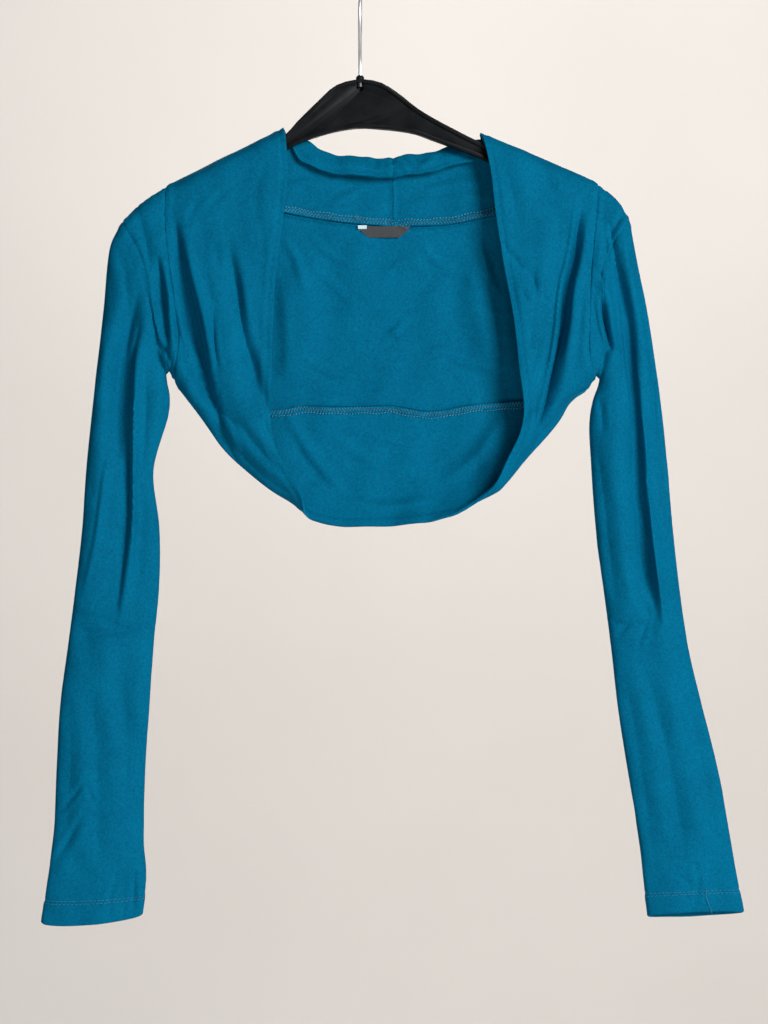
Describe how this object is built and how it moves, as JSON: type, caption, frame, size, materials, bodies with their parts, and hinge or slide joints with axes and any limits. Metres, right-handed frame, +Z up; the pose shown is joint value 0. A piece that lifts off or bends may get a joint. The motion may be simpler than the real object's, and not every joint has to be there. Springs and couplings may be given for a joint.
{
  "type": "bolero jacket on a clothes hanger",
  "caption": "Cropped jersey bolero with long sleeves and a doubled band round its whole opening, hung on a flat plastic clothes hanger with a wire hook",
  "frame": {"origin": "top of the inside of the hook, where a rail carries it", "axes": "+Z up, +X to the wearer's left, -Y out of the front"},
  "size_m": [0.5845, 0.05, 0.7801],
  "materials": {
    "jersey": "fine teal viscose jersey with a soft sheen",
    "label_grey": "woven charcoal label",
    "label_white": "pale satin ribbon",
    "hanger_plastic": "moulded black plastic, satin with a fine grain",
    "hook_wire": "bright plated steel wire"
  },
  "bodies": {
    "root": {"back_panel": "jersey", "front_panel_right": "jersey", "front_panel_left": "jersey", "band_right": "jersey", "band_left": "jersey", "sleeve_right": "jersey", "sleeve_left": "jersey", "neck_label": "label_grey", "care_label": "label_white", "hanger_body": "hanger_plastic", "hanger_hook": "hook_wire"}
  },
  "joints": []
}
